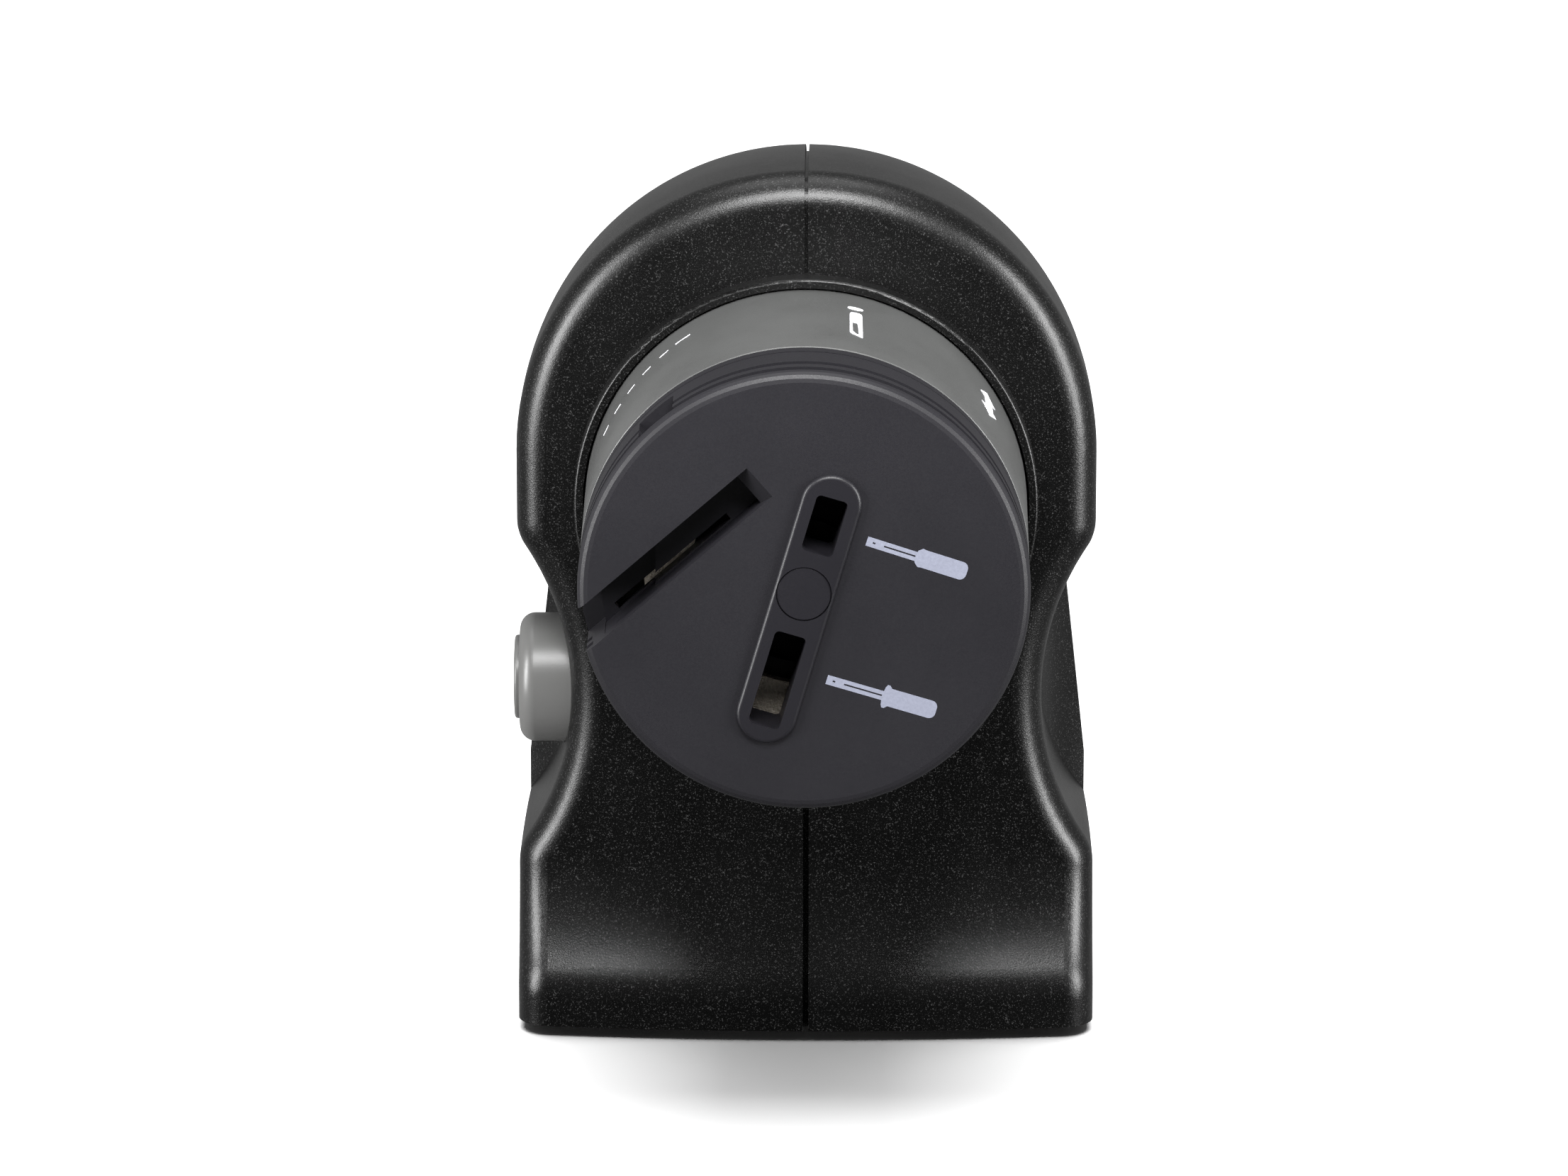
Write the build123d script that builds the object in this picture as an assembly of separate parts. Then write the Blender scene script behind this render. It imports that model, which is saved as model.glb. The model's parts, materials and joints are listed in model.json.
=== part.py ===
from build123d import *
from math import asin, cos, radians, sin, sqrt
import os

# Electric knife, scissors and screwdriver sharpener with a turning head.
# Millimetres, +Z up, the head faces -Y, and the button is on the -X side.

# Housing
BASE_Z = 1.8
TOP_Z = 148.0
HALF_WIDTH = 48.8
FRONT_Y = -15.2
REAR_Y = 74.6
WALL = 2.4
REAR_ROUND = 14.0
BLOCK_END_Y = -7.0
TOP_FALL = 325.0
SIDE_FALL = 1200.0
BULGE_R = 385.0
RIM_ROUND = 5.5
SWEEP_START_Z = 32.0
SWEEP_R = 34.0
TOE_R = 9.0
SWEEP_ANGLE = 36.0
WAIST_Z = 57.3
WAIST_HALF = 30.0
WAIST_DEPTH = 9.0
SCOOP_END_Y = 6.0
SCOOP_END_R = 22.0
SHOULDER_R = 8.0
SEAM_DEPTH = 1.2
SEAM_HALF = 0.3
FRONT_SEAM_HALF = 0.48

# Turning head, along its axis
HEAD_Z = 92.7
FACE_Y = -74.2
DRUM_REAR_Y = -9.6
DRUM_FRONT_Y = -57.0
DRUM_REAR_R = 37.0
DRUM_FRONT_R = 36.55
CAP_R = 36.5
CAP_WALL = 2.4
CAP_INNER_R = 33.0
COLLAR_R = 37.3
COLLAR_OUTER_R = 38.8
COLLAR_FRONT_Y = -19.2
COLLAR_ROUND = 0.5
SPIGOT_R = 24.0
RUNNING_FIT = 0.05
POST_RING_R = 30.4
POST_ANGLES = (40, 160, 280)
SPIGOT_SCREW_R = 46.0
SPIGOT_SCREW_ANGLES = (45, 135, 235, 305)

# Guides in the face, measured from the head's axis
SLOT_OFFSET = 18.5
SLOT_WIDTH = 6.2
SLOT_ANGLE = 221.0
SLOT_END, SLOT_END_DEEP = -6.7, -4.2
STEP_X = -24.0
NOTCH_ANGLE, NOTCH_WIDTH = 131.0, 7.2
GUIDE_TILT = 16.5
GUIDE_WIDTH = 9.8
GUIDE_TOP, GUIDE_BOTTOM = 20.3, -25.9
GUIDE_RAISED = 0.8
HOLES = ((11.8, 5.2, 9.5), (-15.0, 5.2, 16.0))
PLUG_R = 4.5

# Wheel and motor
WHEEL_R = 26.0
ABRASIVE_INNER_R = 18.5
WHEEL_FRONT_Y, WHEEL_REAR_Y = -62.0, -50.0
SHAFT_R = 2.0
MOTOR_R = 19.0
MOTOR_FRONT_Y, MOTOR_REAR_Y = -30.5, 22.0

# Button, base and board
BUTTON_Y, BUTTON_Z, BUTTON_R = 4.0, 56.4, 11.0
BUTTON_FACE_X = -49.8
BUTTON_LIP_X = -35.2
SWITCH_FRONT_X = -26.5
PLATE_TOP_Z = 4.4
BASE_SCREWS = ((42.3, 2.0), (39.6, 52.0))
FEET = ((31.0, -4.0), (28.0, 63.0))
CASE_SCREWS = ((32.0, 127.0), (60.0, 96.0), (62.0, 30.0), (-5.0, 22.0))
BOARD_Z = 12.0
BOARD_POSTS = ((-17, 18), (-17, 55), (27, 18), (27, 55))
INLET_Z, INLET_R = 16.0, 3.6


def rod_y(radius, y0, y1, x=0.0, z=HEAD_Z):
    """Cylinder along Y from y0 to y1."""
    return Pos(x, (y0 + y1) / 2, z) * Rot(90, 0, 0) * Cylinder(radius, y1 - y0)


def rod_x(radius, x0, x1, y, z):
    return Pos((x0 + x1) / 2, y, z) * Rot(0, 90, 0) * Cylinder(radius, x1 - x0)


def rod_z(radius, z0, z1, x, y):
    return Pos(x, y, (z0 + z1) / 2) * Cylinder(radius, z1 - z0)


def block(x0, x1, y0, y1, z0, z1):
    centre = Pos((x0 + x1) / 2, (y0 + y1) / 2, (z0 + z1) / 2)
    return centre * Box(x1 - x0, y1 - y0, z1 - z0)


def tube_y(outer, inner, y0, y1):
    return rod_y(outer, y0, y1) - rod_y(inner, y0 - 1, y1 + 1)


def turned(profile):
    """Solid turned about the head's axis from (radius, y) corners."""
    corners = [(radius, y, HEAD_Z) for radius, y in profile]
    face = Face(Wire(Polyline(*corners, close=True).edges()))
    return revolve(face, Axis((0, 0, HEAD_Z), (0, 1, 0)), 360)


def around_head(shape, angle):
    """Turn a shape made at the +X side of the head to an angle seen from the front."""
    return shape.rotate(Axis((0, 0, HEAD_Z), (0, 1, 0)), -angle)


def on_ring(radius, angle):
    return radius * cos(radians(angle)), HEAD_Z + radius * sin(radians(angle))


# ---------------------------------------------------------------- housing form


def waist_arcs(width, y, depth, side):
    """Side of the housing between its shoulders: rounding, waist, rounding."""
    reach = (WAIST_HALF**2 + depth**2) / (2 * depth)
    waist_r = reach - SHOULDER_R
    lean = WAIST_HALF / reach
    join_x = width - depth + waist_r * (1 - sqrt(1 - lean**2))
    join_z = waist_r * lean
    half = asin(lean) / 2
    mid_x = width - SHOULDER_R * (1 - cos(half))
    mid_z = WAIST_HALF - SHOULDER_R * sin(half)

    def point(x, dz):
        return (side * x, y, WAIST_Z + dz)

    return [
        ThreePointArc(point(width, -WAIST_HALF), point(mid_x, -mid_z), point(join_x, -join_z)),
        ThreePointArc(point(join_x, -join_z), point(width - depth, 0), point(join_x, join_z)),
        ThreePointArc(point(join_x, join_z), point(mid_x, mid_z), point(width, WAIST_HALF)),
    ]


def housing_section(y, inset, floor_z):
    """Plain arch outline of the housing at one depth, set in by the given wall."""
    round_start = REAR_Y - REAR_ROUND
    past = max(y - round_start, 0.0)
    rear_r = REAR_ROUND - inset
    shrink = rear_r - sqrt(max(rear_r**2 - past**2, 0.0))
    run = max(y - BLOCK_END_Y, 0.0)
    width = HALF_WIDTH - run**2 / SIDE_FALL - shrink - inset
    top = TOP_Z - run**2 / TOP_FALL - shrink - inset
    spring = top - width
    edges = [
        Line((-width, y, floor_z), (width, y, floor_z)),
        Line((width, y, floor_z), (width, y, spring)),
        ThreePointArc((width, y, spring), (0, y, top), (-width, y, spring)),
        Line((-width, y, spring), (-width, y, floor_z)),
    ]
    return Face(Wire(edges))


def front_section(y, inset, floor_z):
    """Arch outline with a waist on both sides."""
    width, top = HALF_WIDTH - inset, TOP_Z - inset
    low, high, spring = WAIST_Z - WAIST_HALF, WAIST_Z + WAIST_HALF, top - width
    edges = [
        Line((-width, y, floor_z), (width, y, floor_z)),
        Line((width, y, floor_z), (width, y, low)),
        *waist_arcs(width, y, WAIST_DEPTH, 1),
        Line((width, y, high), (width, y, spring)),
        ThreePointArc((width, y, spring), (0, y, top), (-width, y, spring)),
        Line((-width, y, spring), (-width, y, high)),
        *waist_arcs(width, y, WAIST_DEPTH, -1),
        Line((-width, y, low), (-width, y, floor_z)),
    ]
    return Face(Wire(edges))


def waist_scoop(side, inset):
    """Carries the waist back from the front and runs it out in a round end."""
    width, outer = HALF_WIDTH - inset, 60.0
    low, high, y = WAIST_Z - WAIST_HALF, WAIST_Z + WAIST_HALF, BLOCK_END_Y - 1
    edges = [
        *waist_arcs(width, y, WAIST_DEPTH, side),
        Line((side * width, y, high), (side * outer, y, high)),
        Line((side * outer, y, high), (side * outer, y, low)),
        Line((side * outer, y, low), (side * width, y, low)),
    ]
    scoop = extrude(Face(Wire(edges)), 40.0, dir=(0, 1, 0))
    centre_x = HALF_WIDTH - WAIST_DEPTH + SCOOP_END_R
    round_end = rod_z(SCOOP_END_R + inset, 0, 120, side * centre_x, SCOOP_END_Y)
    straight = block(-80, 80, -40, SCOOP_END_Y, 0, 120)
    return scoop & (round_end + straight)


def front_void(inset):
    """Everything ahead of the bulged front, which sweeps out to a toe at the foot."""
    front = FRONT_Y + inset
    sweep = SWEEP_R + inset
    toe = TOE_R - inset
    turn = radians(SWEEP_ANGLE)
    bend_y = front - sweep * (1 - cos(turn))
    bend_z = SWEEP_START_Z - sweep * sin(turn)
    toe_y = bend_y - toe * (1 - cos(turn))
    toe_z = bend_z - toe * sin(turn)
    sweep_mid = (0, front - sweep * (1 - cos(turn / 2)), SWEEP_START_Z - sweep * sin(turn / 2))
    toe_mid = (0, toe_y + toe * (1 - cos(turn / 2)), toe_z + toe * sin(turn / 2))
    edges = [
        Line((0, front, 180), (0, front, SWEEP_START_Z)),
        ThreePointArc((0, front, SWEEP_START_Z), sweep_mid, (0, bend_y, bend_z)),
        ThreePointArc((0, bend_y, bend_z), toe_mid, (0, toe_y, toe_z)),
        Line((0, toe_y, toe_z), (0, toe_y, -20)),
        Line((0, toe_y, -20), (0, -60, -20)),
        Line((0, -60, -20), (0, -60, 180)),
        Line((0, -60, 180), (0, front, 180)),
    ]
    axis = Axis((0, FRONT_Y + BULGE_R, 0), (0, 0, 1))
    face = Face(Wire(edges)).rotate(axis, -11)
    return revolve(face, axis, 22)


def rim_edges(solid):
    """Edges where the bulged front meets the sides and the arch."""
    found = []
    for edge in solid.edges():
        box = edge.bounding_box()
        if box.max.Y < -8 and edge.geom_type != GeomType.CIRCLE:
            if box.max.Z > box.min.Z + 0.5:
                found.append(edge)
    return found


def side_panel(side, inset):
    """Wedge that flattens the rear side below the shoulder."""
    outer = 60.0
    corners = [
        (HALF_WIDTH, 81.5 + 1.5 * inset),
        (44.0 - inset, 74.0),
        (HALF_WIDTH - inset, 31.0),
        (outer, 31.0),
        (outer, 81.5 + 1.5 * inset),
    ]
    points = [(side * x, 4.0, z) for x, z in corners]
    face = Face(Wire(Polyline(*points, close=True).edges()))
    return extrude(face, 54.0 - inset, dir=(0, 1, 0))


def housing_form(inset=0.0, floor_z=BASE_Z):
    """Closed housing shape, set in by the given wall, standing on floor_z."""
    front = extrude(front_section(BLOCK_END_Y, inset, floor_z), 28, dir=(0, -1, 0))
    front = front - front_void(inset)
    front = fillet(rim_edges(front), RIM_ROUND - inset)
    round_start = REAR_Y - REAR_ROUND
    depths = [BLOCK_END_Y, 10.0, 27.0, 44.0, round_start]
    rear = loft([housing_section(y, inset, floor_z) for y in depths])
    rear_r = REAR_ROUND - inset
    depths = [round_start + rear_r * sin(radians(angle)) for angle in (0, 18, 36, 54, 72, 90)]
    rear = rear + loft([housing_section(y, inset, floor_z) for y in depths])
    for side in (-1, 1):
        rear = rear - waist_scoop(side, inset) - side_panel(side, inset)
    return front + rear


# ---------------------------------------------------------------- housing parts


def collar():
    """Ring that stands ahead of the housing round the turning head, rounded on its front edge."""
    ring = tube_y(COLLAR_OUTER_R, COLLAR_R, COLLAR_FRONT_Y, -6.5)
    front_edges = [edge for edge in ring.edges() if edge.bounding_box().max.Y < COLLAR_FRONT_Y + 0.1]
    outer_edge = sorted(front_edges, key=lambda edge: edge.length)[-1]
    return fillet(outer_edge, COLLAR_ROUND)


def case_screw_bosses():
    bosses = rod_x(4.0, -47, 47, *CASE_SCREWS[0])
    for y, z in CASE_SCREWS[1:]:
        bosses += rod_x(4.0, -47, 47, y, z)
    return bosses


def base_screw_bosses():
    bosses = []
    for x, y in BASE_SCREWS:
        for side in (-1, 1):
            bosses.append(rod_z(4.4, PLATE_TOP_Z, 22, side * x, y))
    return bosses[0] + bosses[1:]


def spigot_bosses():
    bosses = []
    for angle in SPIGOT_SCREW_ANGLES:
        x, z = on_ring(SPIGOT_SCREW_R, angle)
        bosses.append(rod_y(3.6, FRONT_Y + 1, -6.5, x, z))
    return bosses[0] + bosses[1:]


def seam_groove(outer):
    """Shallow slot along the joint of the two halves, wider under the head."""
    skin = outer - housing_form(SEAM_DEPTH, BASE_Z + SEAM_DEPTH)
    upper = block(-SEAM_HALF, SEAM_HALF, -40, 90, 50, 160)
    lower = block(-FRONT_SEAM_HALF, FRONT_SEAM_HALF, -40, -10, 0, 56)
    under = block(-SEAM_HALF, SEAM_HALF, -10, 90, 0, 50)
    return skin & (upper + lower + under)


def housing_shell():
    outer = housing_form()
    cavity = housing_form(WALL, -5.0)
    shell = outer - cavity
    inside = case_screw_bosses() + base_screw_bosses() + spigot_bosses()
    shell = shell + (inside & outer)
    shell = shell - seam_groove(outer)
    shell = shell - rod_y(COLLAR_OUTER_R - 0.3, -40, -6.5) + collar()
    shell = shell - rod_x(BUTTON_R + 0.3, -60, -34, BUTTON_Y, BUTTON_Z)
    shell = shell - rod_y(5.6, REAR_Y - 6, REAR_Y + 5, 0, INLET_Z)
    for x, y in BASE_SCREWS:
        for side in (-1, 1):
            shell = shell - rod_z(1.4, PLATE_TOP_Z - 1, 18, side * x, y)
    for angle in SPIGOT_SCREW_ANGLES:
        x, z = on_ring(SPIGOT_SCREW_R, angle)
        shell = shell - rod_y(1.3, -12.0, -6, x, z)
    for y, z in CASE_SCREWS:
        shell = shell - rod_x(3.1, 12, 60, y, z)
        shell = shell - rod_x(1.6, -0.1, 12.1, y, z) - rod_x(1.3, -10, 0, y, z)
    return shell


def housing_halves():
    shell = housing_shell()
    left = shell & block(-80, 0, -100, 100, -10, 200)
    right = shell & block(0, 80, -100, 100, -10, 200)
    return left, right


def base_plate():
    outline = housing_form(WALL + 0.15, -5.0)
    plate = outline & block(-60, 60, -60, 90, BASE_Z, PLATE_TOP_Z)
    back_x = SWITCH_FRONT_X + 6.0
    bracket = block(back_x, back_x + 2.5, BUTTON_Y - 4, BUTTON_Y + 7, PLATE_TOP_Z - 1, BUTTON_Z + 9)
    plate = plate + bracket
    for x, y in BOARD_POSTS:
        plate = plate + rod_z(3.0, PLATE_TOP_Z - 1, BOARD_Z, x, y)
    for x, y in BASE_SCREWS:
        for side in (-1, 1):
            plate = plate - rod_z(1.6, 0, 6, side * x, y) - rod_z(3.2, 0, BASE_Z + 1.2, side * x, y)
    for x, y in FEET:
        for side in (-1, 1):
            plate = plate - rod_z(2.6, 0, 6, side * x, y)
    for step in range(7):
        y = 12 + 4 * step
        plate = plate - block(-10, 10, y - 1, y + 1, 0, 6)
    return plate


def suction_feet():
    feet = []
    for x, y in FEET:
        for side in (-1, 1):
            cup = Pos(side * x, y, BASE_Z / 2) * Cone(8.5, 7.0, BASE_Z)
            stem = rod_z(2.5, BASE_Z, PLATE_TOP_Z, side * x, y)
            bulb = rod_z(3.6, PLATE_TOP_Z, PLATE_TOP_Z + 2, side * x, y)
            hollow = Pos(side * x, y, 0.5) * Cone(6.6, 5.0, 1.0)
            feet.append(cup + stem + bulb - hollow)
    return Compound(feet)


def base_screws():
    screws = []
    for x, y in BASE_SCREWS:
        for side in (-1, 1):
            head = rod_z(2.9, BASE_Z - 0.1, BASE_Z + 1.2, side * x, y)
            shank = rod_z(1.3, BASE_Z + 1.1, 16, side * x, y)
            screws.append(head + shank - block(side * x - 2, side * x + 2, y - 0.4, y + 0.4, 0, BASE_Z + 0.5))
    return Compound(screws)


def housing_screws():
    screws = []
    for y, z in CASE_SCREWS:
        screws.append(rod_x(2.8, 12, 14, y, z) + rod_x(1.3, -9, 12, y, z))
    return Compound(screws)


def cord_gland():
    """Empty sleeve in the rear wall where a cord would enter."""
    inner_face = REAR_Y - WALL
    sleeve = rod_y(5.5, REAR_Y - 8, REAR_Y, 0, INLET_Z)
    flange = rod_y(8.0, inner_face - 2.5, inner_face, 0, INLET_Z)
    return sleeve + flange - rod_y(INLET_R, REAR_Y - 9, REAR_Y + 1, 0, INLET_Z)


# ---------------------------------------------------------------- motor and board


def head_spigot():
    """Fixed tube that the head turns on and that carries the motor."""
    flange = rod_y(41.0, -6.5, -3.5)
    for angle in SPIGOT_SCREW_ANGLES:
        x, z = on_ring(SPIGOT_SCREW_R, angle)
        ear = block(36, SPIGOT_SCREW_R, -6.5, -3.5, HEAD_Z - 3.8, HEAD_Z + 3.8)
        flange = flange + around_head(ear, angle) + rod_y(3.8, -6.5, -3.5, x, z)
        flange = flange - rod_y(1.6, -8, 0, x, z)
    seat = rod_y(COLLAR_R - 0.3, -9.5, -6.5)
    barrel = rod_y(SPIGOT_R, -33.0, -3.5)
    spigot = flange + seat + barrel - rod_y(21.0, MOTOR_FRONT_Y, 0)
    groove = tube_y(SPIGOT_R + 1, SPIGOT_R - 1.1, -14.4, -12.7)
    spigot = spigot - groove - rod_y(7.0, -34, -30)
    for x in (-12, 12):
        spigot = spigot - rod_y(1.7, -34, -30, x, HEAD_Z)
    return spigot


def spigot_screws():
    screws = []
    for angle in SPIGOT_SCREW_ANGLES:
        x, z = on_ring(SPIGOT_SCREW_R, angle)
        screws.append(rod_y(2.9, -3.5, -1.6, x, z) + rod_y(1.3, -11, -3.4, x, z))
    return Compound(screws)


def retaining_ring():
    ring = tube_y(27.5, SPIGOT_R - 1.1, -14.3, -12.8)
    return ring - block(-3, 3, -16, -11, HEAD_Z - 30, HEAD_Z)


def motor_can():
    can = rod_y(MOTOR_R, MOTOR_FRONT_Y, MOTOR_REAR_Y) - rod_y(17.5, MOTOR_FRONT_Y + 2, MOTOR_REAR_Y + 1)
    can = can + rod_y(6.5, -34.0, MOTOR_FRONT_Y + 1)
    can = can - rod_y(SHAFT_R + RUNNING_FIT, -40, -20)
    for x in (-12, 12):
        can = can - rod_y(1.3, -31, -28, x, HEAD_Z)
    return can


def motor_screws():
    screws = []
    for x in (-12, 12):
        screws.append(rod_y(2.8, -34.6, -33.0, x, HEAD_Z) + rod_y(1.25, -33.1, -28.6, x, HEAD_Z))
    return Compound(screws)


def motor_ring():
    """Rubber ring that steadies the motor inside the spigot."""
    return tube_y(21.0, MOTOR_R, -22.0, -12.0)


def stator_magnets():
    ring = tube_y(17.5, 14.4, -24.0, 16.0)
    return ring - block(-30, 30, -30, 20, HEAD_Z - 4, HEAD_Z + 4)


def motor_end_cap():
    cap = rod_y(MOTOR_R, MOTOR_REAR_Y, MOTOR_REAR_Y + 3) + rod_y(6.0, MOTOR_REAR_Y + 2, MOTOR_REAR_Y + 6)
    cap = cap + tube_y(17.45, 15.4, MOTOR_REAR_Y - 3, MOTOR_REAR_Y + 1)
    for x in (-12, 12):
        cap = cap + block(x - 1.5, x + 1.5, MOTOR_REAR_Y + 2, MOTOR_REAR_Y + 9, HEAD_Z - 0.4, HEAD_Z + 0.4)
    return cap - rod_y(SHAFT_R + RUNNING_FIT, MOTOR_REAR_Y - 1, MOTOR_REAR_Y + 9)


def dust_shield():
    """Plate on the spigot that keeps grinding dust out of the motor."""
    plate = tube_y(26.5, 7.2, -36.4, -34.9) + tube_y(26.5, 24.6, -36.4, -33.0)
    return plate + tube_y(20.0, 17.6, -36.4, -33.0)


def circuit_board():
    board = block(-22.5, 31.5, 13, 60, BOARD_Z, BOARD_Z + 1.6)
    for x, y in BOARD_POSTS:
        board = board - rod_z(1.4, BOARD_Z - 1, BOARD_Z + 3, x, y)
    return board


def board_components():
    top = BOARD_Z + 1.6
    parts = [
        block(-15, 5, 26, 48, top, top + 19),
        block(9, 24, 40, 52, top, top + 13),
        rod_z(6.0, top, top + 18, 14, 24),
        rod_z(4.0, top, top + 12, 25, 30),
        rod_z(3.0, top, top + 9, 2, 19),
        block(-21.5, -19, 24, 38, top, top + 8),
        block(-13, -4, 16, 20, top, top + 7),
    ]
    return Compound(parts)


def push_switch():
    front = SWITCH_FRONT_X
    body = block(front, front + 6.0, BUTTON_Y - 5, BUTTON_Y + 6.5, BUTTON_Z - 6.5, BUTTON_Z + 6.5)
    return body + rod_x(1.8, front - 1.0, front + 0.1, BUTTON_Y, BUTTON_Z)


# ---------------------------------------------------------------- button


def on_button():
    """Long round button whose inner lip stops it in the housing wall."""
    lip_start = BUTTON_LIP_X - 1.2
    body = rod_x(BUTTON_R, BUTTON_FACE_X + 0.9, BUTTON_LIP_X, BUTTON_Y, BUTTON_Z)
    body = fillet(body.edges().sort_by(Axis.X)[0], 2.6)
    body = body + rod_x(BUTTON_R + 1.6, lip_start, BUTTON_LIP_X, BUTTON_Y, BUTTON_Z)
    body = body - rod_x(9.0, BUTTON_FACE_X + 3.4, BUTTON_LIP_X + 1, BUTTON_Y, BUTTON_Z)
    pad = rod_x(7.15, BUTTON_FACE_X, BUTTON_FACE_X + 2, BUTTON_Y, BUTTON_Z)
    pad = fillet(pad.edges().sort_by(Axis.X)[0], 0.5)
    stem = rod_x(2.6, BUTTON_FACE_X + 3, SWITCH_FRONT_X - 3.2, BUTTON_Y, BUTTON_Z)
    return body + pad + stem


def button_spring():
    """Coil between the button and the switch, at rest."""
    turns, radius, wire = 7, 4.6, 0.45
    length = SWITCH_FRONT_X - BUTTON_FACE_X - 3.4
    path = Helix(pitch=(length - 2 * wire) / turns, height=length - 2 * wire, radius=radius)
    profile = Plane(origin=path @ 0, z_dir=path % 0) * Circle(wire)
    coil = sweep(profile, path=path, is_frenet=True)
    start = SWITCH_FRONT_X - length + wire
    return Pos(start, BUTTON_Y, BUTTON_Z) * Rot(0, 90, 0) * coil


# ---------------------------------------------------------------- turning head


def slot_prism(half_width, corners):
    """Prism across the knife slot from (distance along the slot, y) corners."""
    points = [(x, y, HEAD_Z + SLOT_OFFSET - half_width) for x, y in corners]
    face = Face(Wire(Polyline(*points, close=True).edges()))
    prism = extrude(face, 2 * half_width, dir=(0, 0, 1))
    return prism.mirror(Plane.YZ).rotate(Axis((0, 0, HEAD_Z), (0, 1, 0)), 180 - SLOT_ANGLE)


def guide_stadium(half_width, top, bottom, y0, y1):
    """Rounded bar across the face, tilted with the screwdriver guides."""
    straight = block(-half_width, half_width, y0, y1, HEAD_Z + bottom + half_width, HEAD_Z + top - half_width)
    bar = straight + rod_y(half_width, y0, y1, 0, HEAD_Z + top - half_width)
    bar = bar + rod_y(half_width, y0, y1, 0, HEAD_Z + bottom + half_width)
    return bar.rotate(Axis((0, 0, HEAD_Z), (0, 1, 0)), GUIDE_TILT)


def head_drum():
    """Sleeve of the head with two webs that run on the spigot."""
    sleeve = turned(
        [
            (DRUM_REAR_R, DRUM_REAR_Y),
            (DRUM_FRONT_R, DRUM_FRONT_Y + 0.3),
            (DRUM_FRONT_R - 0.3, DRUM_FRONT_Y),
            (CAP_INNER_R + 1.35, DRUM_FRONT_Y),
            (CAP_INNER_R + 1.8, DRUM_REAR_Y),
        ]
    )
    drum = sleeve + tube_y(DRUM_REAR_R - 1, SPIGOT_R + RUNNING_FIT, -12.7, DRUM_REAR_Y)
    drum = drum + tube_y(DRUM_REAR_R - 1.5, SPIGOT_R + RUNNING_FIT, -29.6, -26.6)
    for angle in POST_ANGLES:
        x, z = on_ring(POST_RING_R, angle)
        drum = drum - rod_y(1.5, -31, -26, x, z)
    return drum


def face_cap():
    """Front cap with the grooved rim, the knife slot and the guide's seat."""
    edge = 1.7
    front = FACE_Y
    profile = [
        (0, front),
        (CAP_R - edge, front),
        (CAP_R - edge * 0.62, front + edge * 0.08),
        (CAP_R - edge * 0.29, front + edge * 0.29),
        (CAP_R - edge * 0.08, front + edge * 0.62),
        (CAP_R, front + edge),
        (CAP_R, -72.2),
        (CAP_R - 1.3, -72.2),
        (CAP_R - 1.3, -70.3),
        (CAP_R, -70.3),
        (CAP_R, -68.4),
        (CAP_R - 1.0, -68.4),
        (CAP_R - 1.0, -66.6),
        (CAP_R, -66.6),
        (CAP_R, -60.3),
        (CAP_R - 0.5, -60.3),
        (CAP_R - 0.5, -59.8),
        (CAP_R, -59.8),
        (CAP_R, DRUM_FRONT_Y - 0.3),
        (CAP_R - 0.3, DRUM_FRONT_Y),
        (CAP_INNER_R + 1.3, DRUM_FRONT_Y),
        (CAP_INNER_R + 1.3, DRUM_FRONT_Y + 4),
        (CAP_INNER_R, DRUM_FRONT_Y + 4),
        (CAP_INNER_R, front + CAP_WALL),
        (0, front + CAP_WALL),
    ]
    cap = turned(profile)
    for angle in POST_ANGLES:
        x, z = on_ring(POST_RING_R, angle)
        cap = cap + rod_y(2.8, front + 1, -29.6, x, z)
    wall_back = front + CAP_WALL
    slot = [
        (SLOT_END, front),
        (SLOT_END_DEEP, wall_back),
        (SLOT_END_DEEP, -61.0),
        (45, -61.0),
        (45, -80),
        (SLOT_END, -80),
    ]
    cap = cap - slot_prism(SLOT_WIDTH / 2, slot)
    cap = cap - guide_stadium(GUIDE_WIDTH / 2, GUIDE_TOP, GUIDE_BOTTOM, -80, -70)
    notch = block(31, 40, -71.2, -62.6, HEAD_Z - NOTCH_WIDTH / 2, HEAD_Z + NOTCH_WIDTH / 2)
    cap = cap - around_head(notch, NOTCH_ANGLE)
    for angle in POST_ANGLES:
        x, z = on_ring(POST_RING_R, angle)
        cap = cap - rod_y(1.2, -42, -29, x, z)
    return cap


def knife_guide():
    """Trough behind the knife slot, stepped, with a slit where the blade meets the wheel."""
    half, wall = SLOT_WIDTH / 2, 1.6
    top_y, low_y = FACE_Y + CAP_WALL, -63.4
    start = SLOT_END_DEEP - wall
    guide = slot_prism(half + wall, [(start, top_y), (start, low_y), (32, low_y), (32, top_y)])
    deep = [(SLOT_END_DEEP, top_y - 1), (SLOT_END_DEEP, low_y - 1.4), (40, low_y - 1.4), (40, top_y - 1)]
    trough = slot_prism(half + 0.02, deep)
    step = block(STEP_X, 10, low_y - 4.0, low_y - 1.3, HEAD_Z - 10, HEAD_Z + 40)
    guide = guide - (trough - step)
    slit = slot_prism(0.6, [(2, low_y - 6), (2, low_y + 1), (26, low_y + 1), (26, low_y - 6)])
    down = radians(SLOT_ANGLE + 90)
    slit = Pos(2.2 * cos(down), 0, 2.2 * sin(down)) * slit
    return (guide - slit) & rod_y(CAP_INNER_R - 0.1, -75, -60)


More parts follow.
